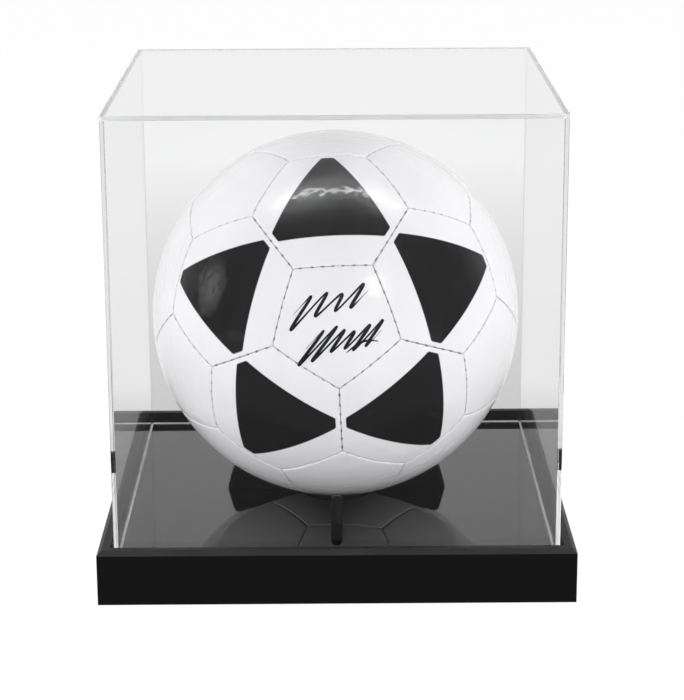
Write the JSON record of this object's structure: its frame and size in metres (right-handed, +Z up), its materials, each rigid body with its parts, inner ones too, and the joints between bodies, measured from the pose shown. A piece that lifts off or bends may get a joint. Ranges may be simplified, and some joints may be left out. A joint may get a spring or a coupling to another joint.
{
  "type": "football display case",
  "caption": "Clear square lift-off cover on a framed black base with a glossy floor, holding a panelled football in a four-armed stand.",
  "frame": {"origin": "centre of the underside, in the plane that the felt pads rest on", "axes": "+Z up, front faces -Y, +X to the right seen from the front"},
  "size_m": [0.268, 0.268, 0.2755],
  "materials": {
    "frame_black": "black satin lacquer on wood",
    "bare_wood": "bare softwood",
    "fibreboard": "raw fibreboard",
    "zinc_steel": "bright zinc",
    "gloss_floor": "polished black acrylic",
    "felt": "black felt",
    "stand_black": "glossy black moulded plastic",
    "clear_sheet": "clear polished acrylic sheet",
    "panel_plain": "glossy white coated synthetic leather",
    "panel_printed": "glossy white coated synthetic leather with black print",
    "woven_lining": "woven cotton and polyester backing",
    "bladder_rubber": "butyl rubber",
    "valve_rubber": "moulded rubber"
  },
  "bodies": {
    "base": {"front_rail": "frame_black", "back_rail": "frame_black", "left_rail": "frame_black", "right_rail": "frame_black", "corner_blocks": "bare_wood", "base_board": "fibreboard", "board_screws": "zinc_steel", "floor_panel": "gloss_floor", "felt_pads": "felt"},
    "cover": {"cover_front": "clear_sheet", "cover_back": "clear_sheet", "cover_left": "clear_sheet", "cover_right": "clear_sheet", "cover_top": "clear_sheet"},
    "stand": {"ball_stand": "stand_black"},
    "ball": {"pentagon_panel_01": "panel_plain", "pentagon_panel_02": "panel_plain", "pentagon_panel_03": "panel_plain", "pentagon_panel_04": "panel_plain", "pentagon_panel_05": "panel_plain", "pentagon_panel_06": "panel_plain", "pentagon_panel_07": "panel_plain", "pentagon_panel_08": "panel_plain", "pentagon_panel_09": "panel_plain", "pentagon_panel_10": "panel_plain", "pentagon_panel_11": "panel_plain", "pentagon_panel_12": "panel_plain", "hexagon_panel_01": "panel_printed", "hexagon_panel_02": "panel_printed", "hexagon_panel_03": "panel_printed", "hexagon_panel_04": "panel_printed", "hexagon_panel_05": "panel_printed", "hexagon_panel_06": "panel_plain", "hexagon_panel_07": "panel_plain", "hexagon_panel_08": "panel_plain", "hexagon_panel_09": "panel_plain", "hexagon_panel_10": "panel_plain", "hexagon_panel_11": "panel_plain", "hexagon_panel_12": "panel_plain", "hexagon_panel_13": "panel_plain", "hexagon_panel_14": "panel_plain", "hexagon_panel_15": "panel_plain", "hexagon_panel_16": "panel_printed", "hexagon_panel_17": "panel_printed", "hexagon_panel_18": "panel_printed", "hexagon_panel_19": "panel_printed", "hexagon_panel_20": "panel_printed", "ball_lining": "woven_lining", "ball_bladder": "bladder_rubber", "ball_valve": "valve_rubber"}
  },
  "joints": [
    {"name": "cover_lift", "type": "slide", "parent": "base", "child": "cover", "axis": [0, 0, 1], "range_m": [0, 0.26]},
    {"name": "stand_turn", "type": "hinge", "parent": "base", "child": "stand", "pos_m": [0, -0.007, 0.026], "axis": [0, 0, 1], "continuous": true},
    {"name": "ball_lift", "type": "slide", "parent": "stand", "child": "ball", "axis": [0, 0, 1], "range_m": [0, 0.02]}
  ]
}
